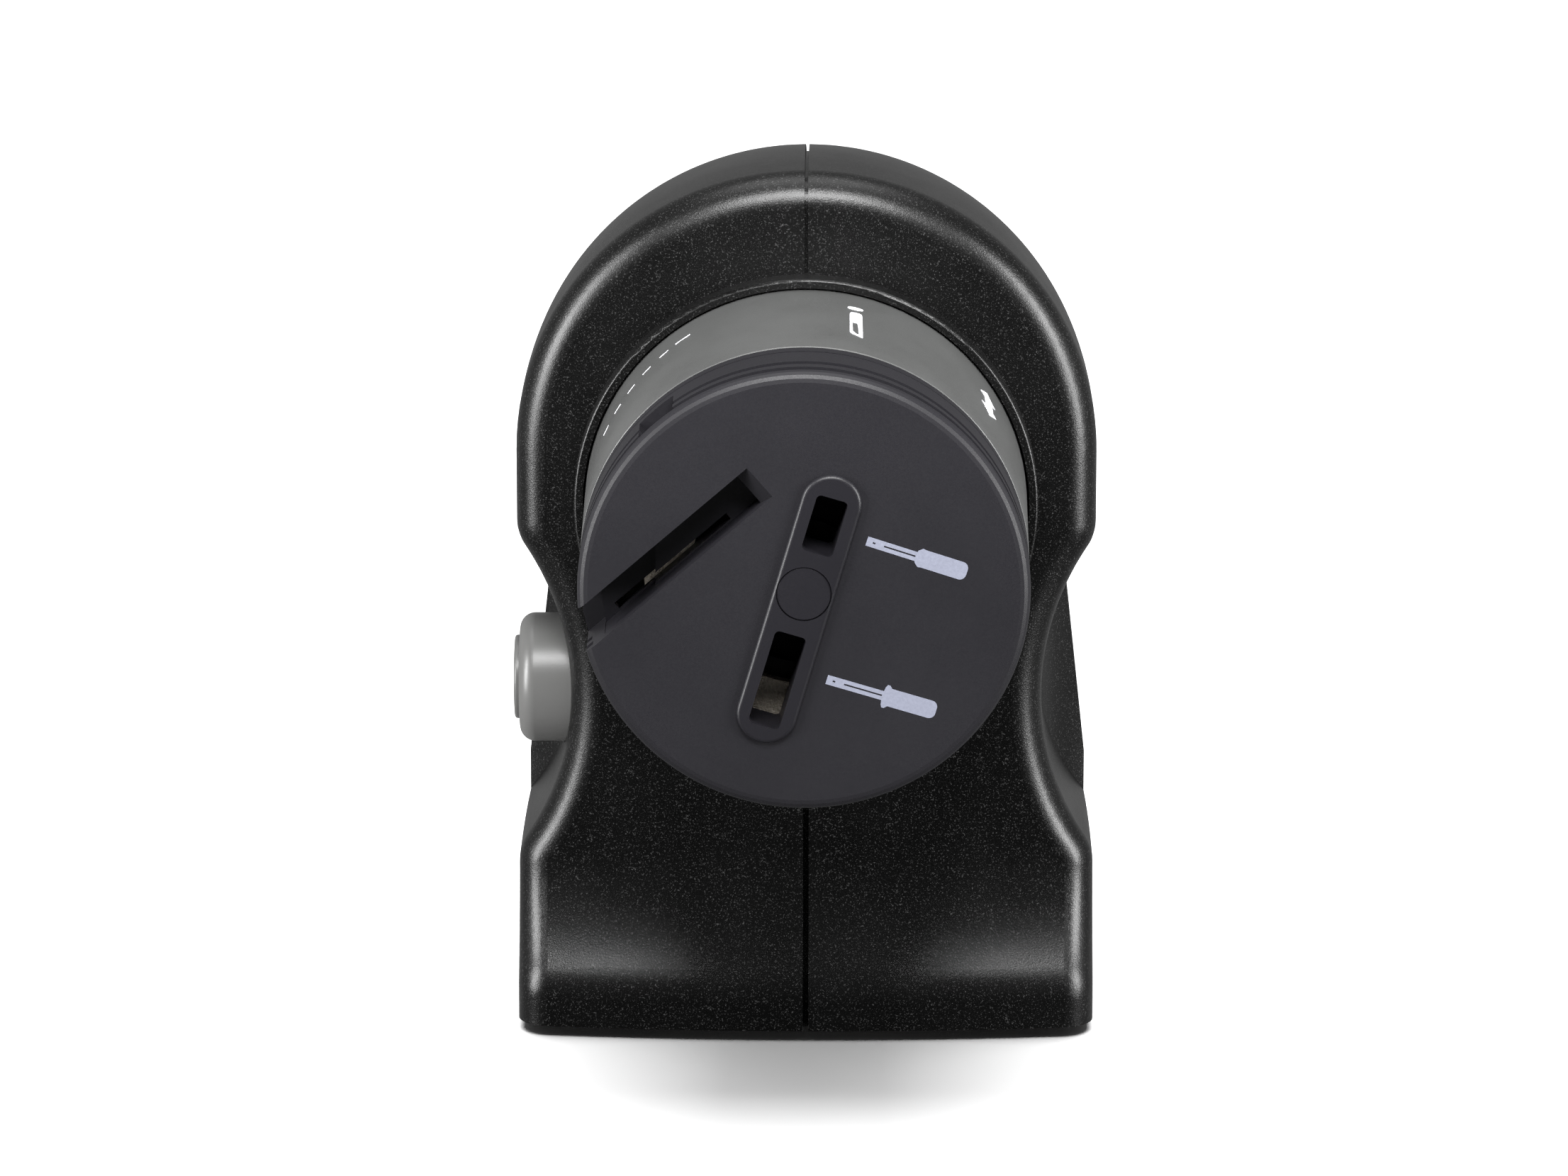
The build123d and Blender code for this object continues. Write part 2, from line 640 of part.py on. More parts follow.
def guide_insert():
    """Raised bar with the two screwdriver guides."""
    front = FACE_Y - GUIDE_RAISED
    bar = guide_stadium(GUIDE_WIDTH / 2, GUIDE_TOP, GUIDE_BOTTOM, front, -66.0)
    rim = [edge for edge in bar.edges() if edge.bounding_box().max.Y < front + 0.01]
    bar = fillet(rim, 0.7)
    half = GUIDE_WIDTH / 2 + 1.6
    flange = guide_stadium(half, GUIDE_TOP + 1.6, GUIDE_BOTTOM - 1.6, FACE_Y + CAP_WALL, -70.0)
    insert = bar + flange
    for centre, width, length in HOLES:
        hole = block(-width / 2, width / 2, -80, -60, HEAD_Z + centre - length / 2, HEAD_Z + centre + length / 2)
        hole = fillet(hole.edges().filter_by(Axis.Y), 0.8)
        insert = insert - hole.rotate(Axis((0, 0, HEAD_Z), (0, 1, 0)), GUIDE_TILT)
    end = SLOT_END_DEEP - 1.8
    slot = slot_prism(SLOT_WIDTH / 2 + 1.7, [(end, -74), (end, -60), (40, -60), (40, -74)])
    return insert - slot - rod_y(PLUG_R, -80, -73.5) - rod_y(2.0, -74, -65)


def centre_plug():
    disc = rod_y(PLUG_R, FACE_Y - GUIDE_RAISED + 0.15, -73.5)
    disc = chamfer(disc.edges().sort_by(Axis.Y)[0], 0.25)
    return disc + rod_y(2.0, -73.6, -67.0)


def cap_screws():
    screws = []
    for angle in POST_ANGLES:
        x, z = on_ring(POST_RING_R, angle)
        screws.append(rod_y(2.6, -26.6, -24.9, x, z) + rod_y(1.2, -40, -26.5, x, z))
    return Compound(screws)


# ---------------------------------------------------------------- spindle


def motor_shaft():
    shaft = rod_y(SHAFT_R, WHEEL_FRONT_Y, MOTOR_REAR_Y + 7)
    return shaft - rod_y(1.0, WHEEL_FRONT_Y - 1, WHEEL_FRONT_Y + 8)


def wheel_hub():
    hub = rod_y(5.0, WHEEL_FRONT_Y, -44.0) + rod_y(8.5, WHEEL_REAR_Y, -46.5)
    return hub - rod_y(SHAFT_R, WHEEL_FRONT_Y - 1, -40)


def wheel_flange():
    disc = tube_y(ABRASIVE_INNER_R, 5.0, -60.0, WHEEL_REAR_Y)
    return disc - tube_y(15.5, 8.5, -61, -57.5)


def grinding_wheel():
    ring = tube_y(WHEEL_R, ABRASIVE_INNER_R, WHEEL_FRONT_Y, WHEEL_REAR_Y)
    rims = [edge for edge in ring.edges() if edge.bounding_box().size.X > 2 * WHEEL_R - 1]
    return chamfer(rims, 1.0)


def wheel_screw():
    screw = rod_y(4.2, -64.4, WHEEL_FRONT_Y) + rod_y(1.0, WHEEL_FRONT_Y - 0.1, WHEEL_FRONT_Y + 7)
    return screw - block(-3, 3, -65, -63.6, HEAD_Z - 0.5, HEAD_Z + 0.5)


def armature():
    core = tube_y(13.4, SHAFT_R, -20.0, 10.0)
    for step in range(5):
        slot = block(8, 15, -21, 11, HEAD_Z - 1.2, HEAD_Z + 1.2)
        core = core - around_head(slot, 72 * step)
    return core


def commutator():
    ring = tube_y(5.0, SHAFT_R, 12.0, 19.0)
    for step in range(5):
        slit = block(3.5, 6, 11, 20, HEAD_Z - 0.2, HEAD_Z + 0.2)
        ring = ring - around_head(slit, 72 * step + 36)
    return ring


# ---------------------------------------------------------------- export


def main():
    os.makedirs("parts", exist_ok=True)
    left, right = housing_halves()
    nodes = {
        "housing_left": left,
        "housing_right": right,
        "base_plate": base_plate(),
        "suction_feet": suction_feet(),
        "base_screws": base_screws(),
        "housing_screws": housing_screws(),
        "cord_gland": cord_gland(),
        "head_spigot": head_spigot(),
        "spigot_screws": spigot_screws(),
        "retaining_ring": retaining_ring(),
        "dust_shield": dust_shield(),
        "motor_can": motor_can(),
        "motor_screws": motor_screws(),
        "motor_ring": motor_ring(),
        "stator_magnets": stator_magnets(),
        "motor_end_cap": motor_end_cap(),
        "circuit_board": circuit_board(),
        "board_components": board_components(),
        "push_switch": push_switch(),
        "button_spring": button_spring(),
        "on_button": on_button(),
        "head_drum": head_drum(),
        "face_cap": face_cap(),
        "knife_guide": knife_guide(),
        "guide_insert": guide_insert(),
        "centre_plug": centre_plug(),
        "cap_screws": cap_screws(),
        "motor_shaft": motor_shaft(),
        "wheel_hub": wheel_hub(),
        "wheel_flange": wheel_flange(),
        "grinding_wheel": grinding_wheel(),
        "wheel_screw": wheel_screw(),
        "armature": armature(),
        "commutator": commutator(),
    }
    for name, shape in nodes.items():
        export_step(shape, f"parts/{name}.step")


main()
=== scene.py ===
import json
import math

import bmesh
import bpy
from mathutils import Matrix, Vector

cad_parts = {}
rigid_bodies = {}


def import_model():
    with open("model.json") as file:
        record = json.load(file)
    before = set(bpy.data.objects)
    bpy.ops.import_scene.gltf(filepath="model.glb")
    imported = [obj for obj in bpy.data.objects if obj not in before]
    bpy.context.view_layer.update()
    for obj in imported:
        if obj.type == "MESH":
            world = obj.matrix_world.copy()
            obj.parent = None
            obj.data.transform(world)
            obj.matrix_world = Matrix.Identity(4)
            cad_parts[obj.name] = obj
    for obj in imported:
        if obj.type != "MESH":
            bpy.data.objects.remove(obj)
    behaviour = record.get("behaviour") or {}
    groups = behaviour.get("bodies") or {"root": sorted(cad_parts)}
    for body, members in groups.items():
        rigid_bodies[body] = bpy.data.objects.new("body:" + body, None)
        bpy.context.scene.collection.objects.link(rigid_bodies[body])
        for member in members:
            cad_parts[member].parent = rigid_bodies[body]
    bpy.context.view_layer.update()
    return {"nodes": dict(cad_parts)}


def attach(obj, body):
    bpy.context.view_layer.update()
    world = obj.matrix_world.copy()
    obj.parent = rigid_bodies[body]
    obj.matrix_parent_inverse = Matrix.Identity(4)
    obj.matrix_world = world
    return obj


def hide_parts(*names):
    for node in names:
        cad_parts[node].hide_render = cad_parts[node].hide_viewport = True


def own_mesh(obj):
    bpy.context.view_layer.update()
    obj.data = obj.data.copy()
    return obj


# Metres. +Z up, the head faces -Y. Angles are in degrees. Round the head they start at +X and are
# seen from the front.
HEAD_Z = 0.0927
FACE_Y = -0.0742
DRUM_REAR_R, DRUM_FRONT_R = 0.0370, 0.03655
DRUM_REAR_Y, DRUM_FRONT_Y = -0.0096, -0.0570
MM = 0.001

# Most of a noise's values lie between these two.
NOISE_LOW, NOISE_HIGH = 0.3, 0.7

# Noise scales, per metre. The tool lines' own is multiplied by their stretch.
SHADE_DRIFT, GLOSS_DRIFT = 45.0, 60.0
GRIT_CELLS, GRIT_PATCHES = 2600.0, 400.0
INK_FILM = 2500.0
TOOL_LINES = 3.0
PAPER_FIBRE = 30.0

# Printed marks.
PRINT_THICKNESS = 0.00006
FACE_PRINT_LIFT, DRUM_PRINT_LIFT = 0.00002, 0.00001
DRUM_PRINT_LONGEST_EDGE = 0.0007
KNIFE_ANGLE, SCISSORS_ANGLE = 77.0, 37.0
DASH_COUNT, FIRST_DASH_ANGLE, DASH_ANGLE_STEP = 6, 123.5, 6.0
SCREWDRIVERS_MM = {
    "mark_driver_upper": {"shaft": 8.3, "length": 16.9, "guard": False, "x": 10.1, "z": 8.7, "angle": -18.0},
    "mark_driver_lower": {"shaft": 9.4, "length": 18.4, "guard": True, "x": 3.7, "z": -14.4, "angle": -16.6},
}

# Stage.
FLOOR_SIZE = 6.0
WORLD_FRONT, WORLD_BACK = 0.02, 0.34
WORLD_DIM_Y, WORLD_BRIGHT_Y = -0.8, 0.6
CAMERA_ELEVATION, CAMERA_AZIMUTH, CAMERA_DISTANCE = 15.3, 0.5, 1.4
CAMERA_TARGET = (-0.0037, -0.0152, 0.0774)
LENS_MM, SENSOR_MM = 191.4, 36.0

# ------------------------------------------------------------------ materials


def new_material(name):
    material = bpy.data.materials.new(name)
    material.use_nodes = True
    tree = material.node_tree
    shader = tree.nodes["Principled BSDF"]
    return material, tree, shader


def object_coordinates(tree):
    return tree.nodes.new("ShaderNodeTexCoord").outputs["Object"]


def noise(tree, coordinates, scale, detail=3.0, roughness=0.55):
    node = tree.nodes.new("ShaderNodeTexNoise")
    node.inputs["Scale"].default_value = scale
    node.inputs["Detail"].default_value = detail
    node.inputs["Roughness"].default_value = roughness
    tree.links.new(coordinates, node.inputs["Vector"])
    return node.outputs["Fac"]


def ramp(tree, value, dark, light, low=NOISE_LOW, high=NOISE_HIGH):
    """Maps a value between low and high onto two colours."""
    node = tree.nodes.new("ShaderNodeValToRGB")
    node.color_ramp.elements[0].position = low
    node.color_ramp.elements[0].color = (*dark, 1.0)
    node.color_ramp.elements[1].position = high
    node.color_ramp.elements[1].color = (*light, 1.0)
    tree.links.new(value, node.inputs["Fac"])
    return node.outputs["Color"]


def spread(tree, value, low, high):
    """Maps a noise onto low..high."""
    node = tree.nodes.new("ShaderNodeMapRange")
    node.inputs["From Min"].default_value = NOISE_LOW
    node.inputs["From Max"].default_value = NOISE_HIGH
    node.inputs["To Min"].default_value = low
    node.inputs["To Max"].default_value = high
    tree.links.new(value, node.inputs["Value"])
    return node.outputs["Result"]


def bump(tree, shader, height, distance):
    """Raises the surface by the distance where the height is 1."""
    node = tree.nodes.new("ShaderNodeBump")
    node.inputs["Distance"].default_value = distance
    node.inputs["Strength"].default_value = 1.0
    tree.links.new(height, node.inputs["Height"])
    tree.links.new(node.outputs["Normal"], shader.inputs["Normal"])


def uneven_gloss(tree, shader, grain, drift, drift_share, roughness):
    """Roughness that changes with the grain and, more slowly, with the drift."""
    mixed = tree.nodes.new("ShaderNodeMix")
    mixed.inputs["Factor"].default_value = drift_share
    tree.links.new(grain, mixed.inputs["A"])
    tree.links.new(drift, mixed.inputs["B"])
    gloss = spread(tree, mixed.outputs["Result"], roughness - 0.05, roughness + 0.07)
    tree.links.new(gloss, shader.inputs["Roughness"])


def moulded_plastic(name, colour, roughness, grain_size, grain_depth, variation=0.12, specular=0.5):
    """Moulded plastic: spark grain in the surface, and slight drift in shade and gloss."""
    material, tree, shader = new_material(name)
    coordinates = object_coordinates(tree)
    grain = noise(tree, coordinates, 1.0 / grain_size, detail=2.0)
    drift = noise(tree, coordinates, SHADE_DRIFT, detail=4.0)
    dark = tuple(c * (1 - variation) for c in colour)
    light = tuple(min(c * (1 + variation), 1.0) for c in colour)
    tree.links.new(ramp(tree, drift, dark, light), shader.inputs["Base Color"])
    uneven_gloss(tree, shader, grain, drift, drift_share=0.35, roughness=roughness)
    bump(tree, shader, grain, grain_depth)
    shader.inputs["Specular IOR Level"].default_value = specular
    return material


def sparked_plastic(name, colour, painted_glint, roughness, grain_size, grain_depth, specular):
    """Spark-eroded plastic: coarse grain, with painted glints in a brighter colour on its scattered peaks.
    """
    material, tree, shader = new_material(name)
    coordinates = object_coordinates(tree)
    coarse = noise(tree, coordinates, 1.0 / grain_size, detail=2.0, roughness=0.7)
    fine = noise(tree, coordinates, 2.6 / grain_size, detail=1.0, roughness=0.5)
    drift = noise(tree, coordinates, GLOSS_DRIFT)
    # Base colour turns brighter on the coarse grain's peaks: these specks are painted glints.
    tree.links.new(ramp(tree, coarse, colour, painted_glint, low=0.58, high=0.72), shader.inputs["Base Color"])
    uneven_gloss(tree, shader, fine, drift, drift_share=0.4, roughness=roughness)
    bump(tree, shader, coarse, grain_depth)
    shader.inputs["Specular IOR Level"].default_value = specular
    return material


def worked_metal(name, colour, roughness, line_scale=(60.0, 900.0, 60.0), depth=0.00001):
    """Turned or drawn metal with fine tool lines."""
    material, tree, shader = new_material(name)
    stretch = tree.nodes.new("ShaderNodeMapping")
    stretch.inputs["Scale"].default_value = line_scale
    tree.links.new(object_coordinates(tree), stretch.inputs["Vector"])
    lines = noise(tree, stretch.outputs["Vector"], TOOL_LINES)
    shader.inputs["Metallic"].default_value = 1.0
    dark = tuple(c * 0.82 for c in colour)
    tree.links.new(ramp(tree, lines, dark, colour), shader.inputs["Base Color"])
    tree.links.new(spread(tree, lines, roughness - 0.06, roughness + 0.1), shader.inputs["Roughness"])
    bump(tree, shader, lines, depth)
    return material


def bonded_grit(name, dark, light):
    """Grinding stone: angular grit with open pores."""
    material, tree, shader = new_material(name)
    coordinates = object_coordinates(tree)
    cells = tree.nodes.new("ShaderNodeTexVoronoi")
    cells.inputs["Scale"].default_value = GRIT_CELLS
    tree.links.new(coordinates, cells.inputs["Vector"])
    patches = noise(tree, coordinates, GRIT_PATCHES, detail=5.0)
    tree.links.new(ramp(tree, patches, dark, light), shader.inputs["Base Color"])
    tree.links.new(spread(tree, patches, 0.8, 0.95), shader.inputs["Roughness"])
    bump(tree, shader, cells.outputs["Distance"], 0.0002)
    return material


def printed_ink(name, colour):
    """Pad-printed ink with a slightly uneven film."""
    material, tree, shader = new_material(name)
    film = noise(tree, object_coordinates(tree), INK_FILM)
    dark = tuple(c * 0.88 for c in colour)
    tree.links.new(ramp(tree, film, dark, colour), shader.inputs["Base Color"])
    tree.links.new(spread(tree, film, 0.5, 0.62), shader.inputs["Roughness"])
    bump(tree, shader, film, 0.00001)
    return material


def outer_materials():
    """Materials that the viewer sees."""
    return {
        "housing": sparked_plastic(
            "housing_grain_painted_glints",
            colour=(0.0006, 0.0006, 0.0006),
            # Brighter colour painted on the grain's peaks as glints.
            painted_glint=(0.038, 0.038, 0.038),
            roughness=0.33,
            grain_size=0.00029,
            grain_depth=0.000035,
            specular=0.36,
        ),
        "drum": moulded_plastic(
            "drum_satin",
            colour=(0.064, 0.065, 0.064),
            roughness=0.30,
            grain_size=0.00020,
            grain_depth=0.000010,
            variation=0.14,
            specular=0.6,
        ),
        "face": moulded_plastic(
            "face_satin",
            colour=(0.0070, 0.0066, 0.0086),
            roughness=0.50,
            grain_size=0.00030,
            grain_depth=0.000006,
            variation=0.06,
            specular=0.28,
        ),
        "guide": moulded_plastic(
            "guide_satin",
            colour=(0.0070, 0.0066, 0.0086),
            roughness=0.40,
            grain_size=0.00025,
            grain_depth=0.000006,
            variation=0.06,
            specular=0.30,
        ),
        "button": moulded_plastic(
            "button_satin",
            colour=(0.085, 0.085, 0.083),
            roughness=0.34,
            grain_size=0.00030,
            grain_depth=0.000006,
            variation=0.03,
        ),
        "grit": bonded_grit("wheel_grit", dark=(0.34, 0.30, 0.25), light=(0.52, 0.47, 0.40)),
        "face_ink": printed_ink("ink_lavender", colour=(0.14, 0.148, 0.19)),
        "drum_ink": printed_ink("ink_white", colour=(0.80, 0.80, 0.84)),
    }


def inner_materials():
    """Materials of the feet, the fasteners and everything inside. The last two numbers of a plastic are
    its grain's size and depth."""
    return {
        "base": moulded_plastic("base_plastic", (0.02, 0.02, 0.02), 0.5, 0.0003, 0.00002),
        "inner": moulded_plastic("inner_plastic", (0.05, 0.05, 0.05), 0.5, 0.0004, 0.00002),
        "rubber": moulded_plastic("foot_rubber", (0.012, 0.012, 0.012), 0.7, 0.0005, 0.00004),
        "board": moulded_plastic("board_green", (0.02, 0.10, 0.04), 0.4, 0.0008, 0.00001),
        "component": moulded_plastic("component_body", (0.05, 0.05, 0.06), 0.35, 0.0006, 0.00001),
        "magnet": moulded_plastic("magnet_ferrite", (0.03, 0.03, 0.03), 0.6, 0.0005, 0.00003),
        "steel": worked_metal("screw_steel", (0.55, 0.55, 0.56), 0.32),
        "core": worked_metal("core_steel", (0.30, 0.30, 0.30), 0.45, (20.0, 2500.0, 20.0), 0.00003),
        "brass": worked_metal("turned_brass", (0.70, 0.52, 0.22), 0.30),
        "copper": worked_metal("commutator_copper", (0.75, 0.38, 0.22), 0.28),
        "flange": worked_metal("flange_dark", (0.06, 0.06, 0.06), 0.5),
    }


NODE_MATERIALS = {
    "housing_left": "housing",
    "housing_right": "housing",
    "base_plate": "base",
    "suction_feet": "rubber",
    "cord_gland": "rubber",
    "motor_ring": "rubber",
    "head_spigot": "inner",
    "dust_shield": "inner",
    "motor_end_cap": "inner",
    "push_switch": "inner",
    "circuit_board": "board",
    "board_components": "component",
    "stator_magnets": "magnet",
    "on_button": "button",
    "head_drum": "drum",
    "face_cap": "face",
    "knife_guide": "guide",
    "guide_insert": "guide",
    "centre_plug": "guide",
    "wheel_hub": "brass",
    "commutator": "copper",
    "armature": "core",
    "wheel_flange": "flange",
    "grinding_wheel": "grit",
}


def dress_nodes(frame, materials):
    """Gives each CAD node its material. Nodes not listed are steel."""
    for name, node in frame["nodes"].items():
        node.data.materials.clear()
        node.data.materials.append(materials[NODE_MATERIALS.get(name, "steel")])


def compress_spring(frame, materials):
    """Stands for the button's coil: a steel copy of its mesh, held by the base in place of the original."""
    coil = bpy.data.objects.new("return_coil", frame["nodes"]["button_spring"].data.copy())
    bpy.context.scene.collection.objects.link(coil)
    coil.data.materials.clear()
    coil.data.materials.append(materials["steel"])
    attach(coil, "base")
    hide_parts("button_spring")
    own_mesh(coil)


# ------------------------------------------------------------------ printed marks


def outline_piece(name, loops, place, thickness, material):
    """Thin raised print from closed outlines; later loops are holes in the first."""
    curve = bpy.data.curves.new(name, "CURVE")
    curve.dimensions = "2D"
    curve.fill_mode = "BOTH"
    for loop in loops:
        spline = curve.splines.new("POLY")
        spline.points.add(len(loop) - 1)
        for point, (x, y) in zip(spline.points, loop):
            point.co = (x * MM, y * MM, 0.0, 1.0)
        spline.use_cyclic_u = True
    curve.extrude = thickness / 2
    shape = bpy.data.objects.new(name, curve)
    bpy.context.scene.collection.objects.link(shape)
    mesh = bpy.data.meshes.new_from_object(shape)
    bpy.data.objects.remove(shape)
    piece = bpy.data.objects.new(name, mesh)
    bpy.context.scene.collection.objects.link(piece)
    mesh.materials.clear()
    mesh.materials.append(material)
    for vertex in mesh.vertices:
        vertex.co = place(vertex.co)
    return piece


def round_corner(cx, cy, radius, start, end, steps=6):
    """Points along an arc, from one angle to another."""
    points = []
    for step in range(steps + 1):
        angle = math.radians(start + (end - start) * step / steps)
        points.append((cx + radius * math.cos(angle), cy + radius * math.sin(angle)))
    return points


def bar_outline(start, end, half):
    return [(start, half), (end, half), (end, -half), (start, -half)]


def screwdriver_outline(shaft, length, guard):
    """Screwdriver seen from the side, in mm: its outline, the groove in its shaft and a nick near its
    tip. The tip is at 0 and the handle ends at the given length."""
    half_shaft, half_neck, half_handle, half_guard, end_round = 0.78, 1.05, 1.5, 1.95, 1.05
    upper = [(0.0, half_shaft), (shaft, half_shaft)]
    if guard:
        upper += [(shaft + 0.1, half_handle), (shaft + 0.35, half_guard)]
        upper += [(shaft + 0.75, half_guard), (shaft + 1.2, half_handle)]
    else:
        upper += [(shaft + 0.1, half_neck), (shaft + 0.75, half_handle + 0.1), (shaft + 1.3, half_handle)]
    upper += round_corner(length - end_round, half_handle - end_round, end_round, 90, 0)
    lower = [(x, -y) for x, y in reversed(upper)]
    groove = bar_outline(2.9, shaft - 0.1, 0.13)
    nick = bar_outline(1.0, 1.45, 0.14)
    return [upper + lower, groove, nick]


def on_face(x, z, angle, lift):
    """Places a flat outline on the face: x and z are in mm from the head's centre."""
    turn = math.radians(angle)

    def place(co):
        across = co.x * math.cos(turn) - co.y * math.sin(turn)
        up = co.x * math.sin(turn) + co.y * math.cos(turn)
        return Vector((x * MM + across, FACE_Y - lift - co.z, HEAD_Z + z * MM + up))

    return place


def on_drum(angle, lift):
    """Wraps a flat outline on the drum: its x runs clockwise round the drum, its y to the rear."""

    def place(co):
        share = (co.y - DRUM_REAR_Y) / (DRUM_FRONT_Y - DRUM_REAR_Y)
        radius = DRUM_REAR_R + (DRUM_FRONT_R - DRUM_REAR_R) * share + lift + co.z
        turn = math.radians(angle) - co.x / DRUM_REAR_R
        return Vector((radius * math.cos(turn), co.y, HEAD_Z + radius * math.sin(turn)))

    return place


def split_long_edges(piece):
    """Cuts a wrapped print finely enough to follow the drum."""
    mesh = bmesh.new()
    mesh.from_mesh(piece.data)
    long_edges = [edge for edge in mesh.edges if edge.calc_length() > DRUM_PRINT_LONGEST_EDGE]
    if long_edges:
        bmesh.ops.subdivide_edges(mesh, edges=long_edges, cuts=3)
    mesh.to_mesh(piece.data)
    mesh.free()


def screwdriver_marks(materials):
    """Two screwdriver signs on the face, each placed by its tip."""
    for name, mark in SCREWDRIVERS_MM.items():
        loops = screwdriver_outline(mark["shaft"], mark["length"], mark["guard"])
        place = on_face(mark["x"], mark["z"], mark["angle"], FACE_PRINT_LIFT)
        piece = outline_piece(name, loops, place, PRINT_THICKNESS, materials["face_ink"])
        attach(piece, "head")


def drum_print(name, loops, angle, materials):
    """Print on the drum, centred on one angle. Its outline is in mm, with y along the head's axis."""
    place = on_drum(angle, DRUM_PRINT_LIFT)
    piece = outline_piece(name, loops, place, PRINT_THICKNESS, materials["drum_ink"])
    split_long_edges(piece)
    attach(piece, "head")


def knife_mark(materials):
    """Knife handle with a window, and the blade end above it."""
    handle = [
        (-1.05, -31.8), (-0.85, -31.0), (-0.3, -30.7), (0.5, -30.6), (0.95, -31.2), (1.05, -32.0),
        (1.2, -46.4), (0.8, -46.3), (0.0, -45.5), (-0.7, -44.9), (-1.0, -44.0),
    ]
    window = [(-0.6, -37.3), (0.3, -37.5), (0.55, -45.2), (0.0, -44.5), (-0.5, -43.2)]
    drum_print("mark_knife", [handle, window], KNIFE_ANGLE, materials)
    centre_x, centre_y, half_width, half_height, steps = -0.1, -27.9, 1.35, 0.9, 16
    blade = []
    for step in range(steps):
        turn = math.radians(360.0 * step / steps)
        blade.append((centre_x + half_width * math.cos(turn), centre_y + half_height * math.sin(turn)))
    drum_print("mark_knife_blade", [blade], KNIFE_ANGLE, materials)


def scissors_mark(materials):
    """Sign for scissors: a short stroke with an arrowhead at each end."""
    stroke = [
        (-0.8, -30.0), (0.9, -27.2), (2.5, -29.9), (3.3, -30.7), (2.4, -31.3), (2.6, -35.7),
        (3.6, -36.1), (1.7, -39.6), (-0.6, -36.2), (0.5, -35.7), (0.2, -31.0),
    ]
    drum_print("mark_scissors", [stroke], SCISSORS_ANGLE, materials)


def dash_marks(materials):
    """Dashes that show which way the head turns, drifting forward round the drum. The first is the
    boldest."""
    slant, taper = 0.3, 0.7
    for index in range(DASH_COUNT):
        angle = FIRST_DASH_ANGLE + DASH_ANGLE_STEP * index
        y = -28.0 - 0.72 * index - 0.05 * index * index
        half, thick = (1.45, 0.5) if index == 0 else (0.95, 0.25)
        dash = [(-half, y - slant), (half, y), (half, y + thick), (-half, y + thick * taper - slant)]
        drum_print(f"mark_dash_{index + 1}", [dash], angle, materials)


# ------------------------------------------------------------------ stage


def build_floor():
    """White paper floor, left out of reflections so that the black front stays black."""
    floor = bmesh.new()
    bmesh.ops.create_grid(floor, x_segments=8, y_segments=8, size=FLOOR_SIZE)
    mesh = bpy.data.meshes.new("floor")
    floor.to_mesh(mesh)
    floor.free()
    piece = bpy.data.objects.new("floor", mesh)
    bpy.context.scene.collection.objects.link(piece)
    material, tree, shader = new_material("floor_paper")
    fibre = noise(tree, object_coordinates(tree), PAPER_FIBRE, detail=4.0)
    paper = ramp(tree, fibre, (0.93, 0.93, 0.93), (0.96, 0.96, 0.96))
    tree.links.new(paper, shader.inputs["Base Color"])
    shader.inputs["Roughness"].default_value = 0.9
    mesh.materials.append(material)
    piece.visible_glossy = False


def lit_pieces():
    """Collection of everything but the floor, for the lights that reach only the object."""
    chosen = bpy.data.collections.new("lit_pieces")
    for thing in bpy.context.scene.objects:
        if thing.type == "MESH" and thing.name != "floor":
            chosen.objects.link(thing)
    return chosen


def area_light(name, place, target, size, size_y, power, receivers):
    """Rectangular light that reaches only its receivers."""
    light = bpy.data.lights.new(name, "AREA")
    light.shape = "RECTANGLE"
    light.size = size
    light.size_y = size_y
    light.energy = power
    lamp = bpy.data.objects.new(name, light)
    direction = Vector(target) - Vector(place)
    lamp.location = place
    lamp.rotation_euler = direction.to_track_quat("-Z", "Y").to_euler()
    lamp.visible_camera = False
    lamp.light_linking.receiver_collection = receivers
    bpy.context.scene.collection.objects.link(lamp)


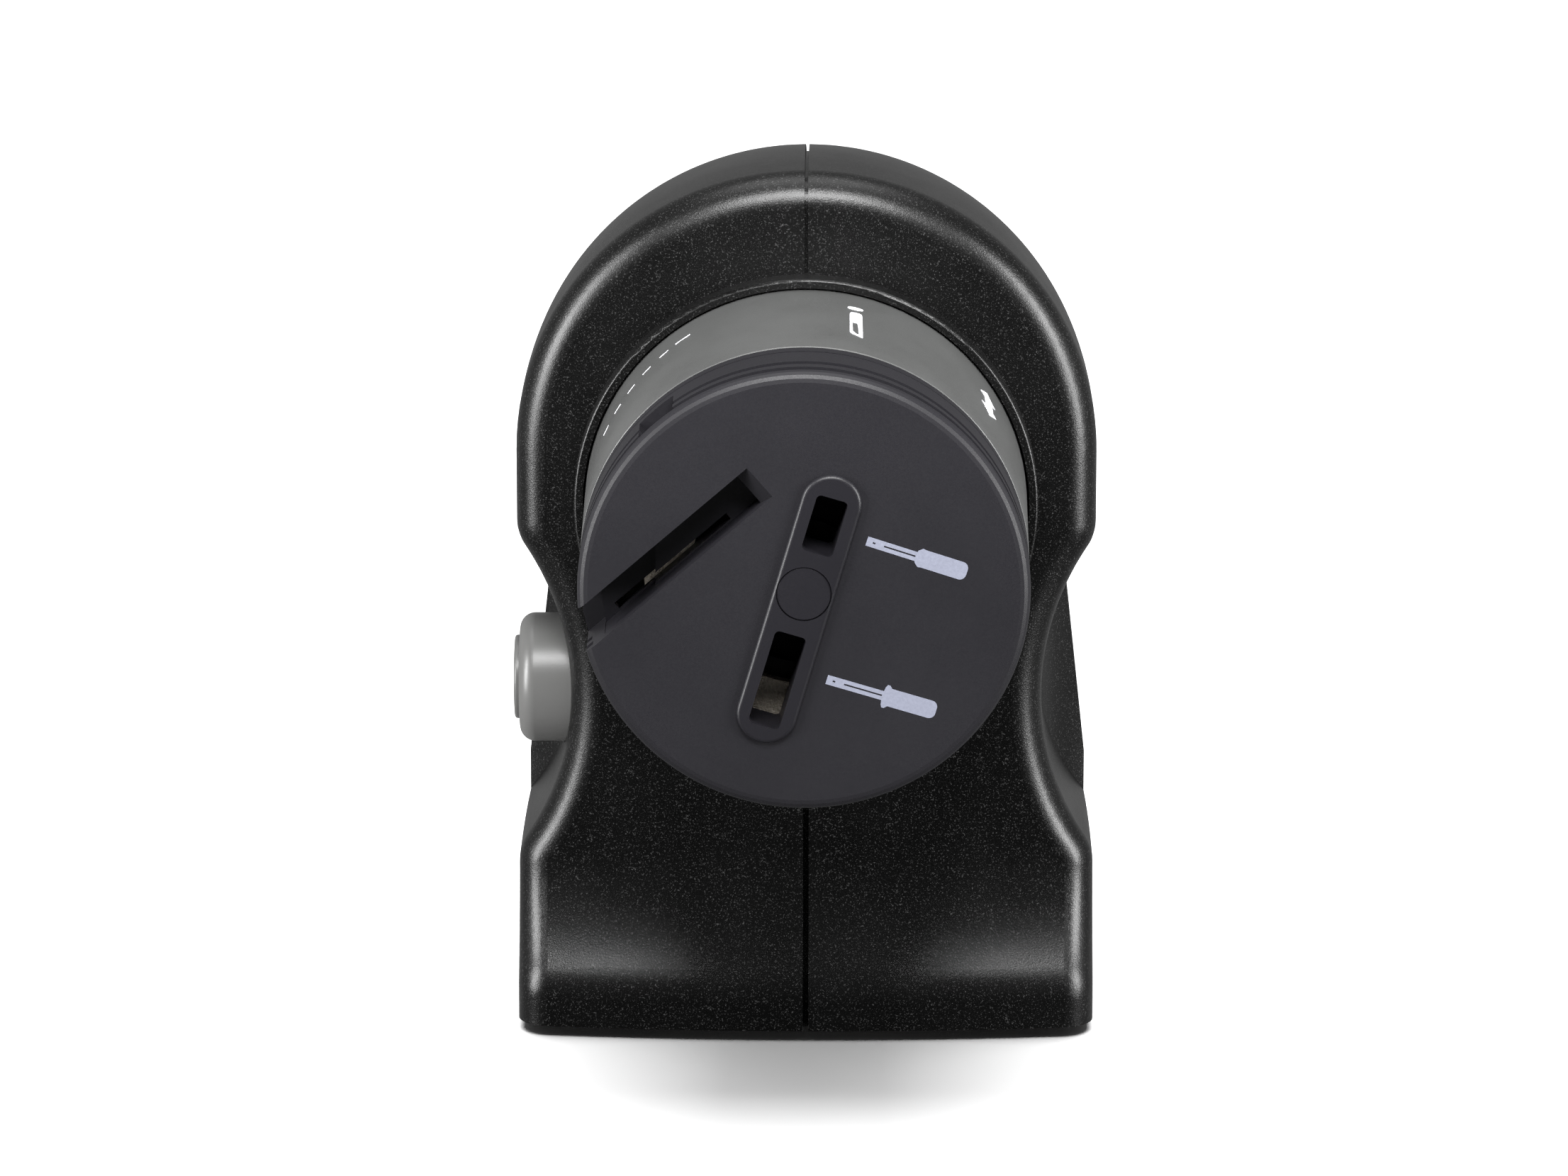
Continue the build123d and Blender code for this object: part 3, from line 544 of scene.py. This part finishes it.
def build_world():
    """Studio surroundings: bright behind the object, dim on the camera side."""
    world = bpy.data.worlds.new("studio")
    bpy.context.scene.world = world
    world.use_nodes = True
    tree = world.node_tree
    direction = tree.nodes.new("ShaderNodeTexCoord").outputs["Generated"]
    parts = tree.nodes.new("ShaderNodeSeparateXYZ")
    tree.links.new(direction, parts.inputs["Vector"])
    share = tree.nodes.new("ShaderNodeMapRange")
    share.inputs["From Min"].default_value = WORLD_DIM_Y
    share.inputs["From Max"].default_value = WORLD_BRIGHT_Y
    share.inputs["To Min"].default_value = WORLD_FRONT
    share.inputs["To Max"].default_value = WORLD_BACK
    tree.links.new(parts.outputs["Y"], share.inputs["Value"])
    background = tree.nodes["Background"]
    background.inputs["Color"].default_value = (1.0, 1.0, 1.0, 1.0)
    tree.links.new(share.outputs["Result"], background.inputs["Strength"])


def build_lights():
    """One overhead light for the floor. For the object, one light above, one low over the front, and a
    tall one on each side."""
    pieces = lit_pieces()
    floor_only = bpy.data.collections.new("floor_only")
    floor_only.objects.link(bpy.data.objects["floor"])
    area_light(
        "overhead",
        place=(0.0, 0.05, 1.1),
        target=(0.0, 0.05, 0.0),
        size=1.3,
        size_y=1.1,
        power=36.0,
        receivers=floor_only,
    )
    area_light(
        "above",
        place=(0.0, 0.05, 0.9),
        target=(0.0, 0.0, 0.1),
        size=0.7,
        size_y=0.5,
        power=3.5,
        receivers=pieces,
    )
    area_light(
        "front_top",
        place=(0.0, -0.22, 0.31),
        target=(0.0, -0.02, 0.13),
        size=0.18,
        size_y=0.10,
        power=1.8,
        receivers=pieces,
    )
    for side in (-1, 1):
        area_light(
            f"side_{side}",
            place=(side * 0.50, -0.26, 0.18),
            target=(0.0, 0.0, 0.08),
            size=0.16,
            size_y=0.40,
            power=6.2,
            receivers=pieces,
        )


def build_camera():
    """Slightly from above, with a long lens."""
    elevation, azimuth = math.radians(CAMERA_ELEVATION), math.radians(CAMERA_AZIMUTH)
    away = Vector(
        (
            math.sin(azimuth) * math.cos(elevation),
            -math.cos(azimuth) * math.cos(elevation),
            math.sin(elevation),
        )
    )
    lens = bpy.data.cameras.new("camera")
    lens.sensor_width = SENSOR_MM
    lens.lens = LENS_MM
    lens.clip_end = 30.0
    camera = bpy.data.objects.new("camera", lens)
    camera.location = Vector(CAMERA_TARGET) + away * CAMERA_DISTANCE
    camera.rotation_euler = (-away).to_track_quat("-Z", "Y").to_euler()
    bpy.context.scene.collection.objects.link(camera)
    bpy.context.scene.camera = camera


# ------------------------------------------------------------------ main

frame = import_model()
bpy.context.scene.view_settings.view_transform = "Standard"
materials = outer_materials() | inner_materials()
dress_nodes(frame, materials)
compress_spring(frame, materials)
screwdriver_marks(materials)
knife_mark(materials)
scissors_mark(materials)
dash_marks(materials)
build_floor()
build_world()
build_lights()
build_camera()
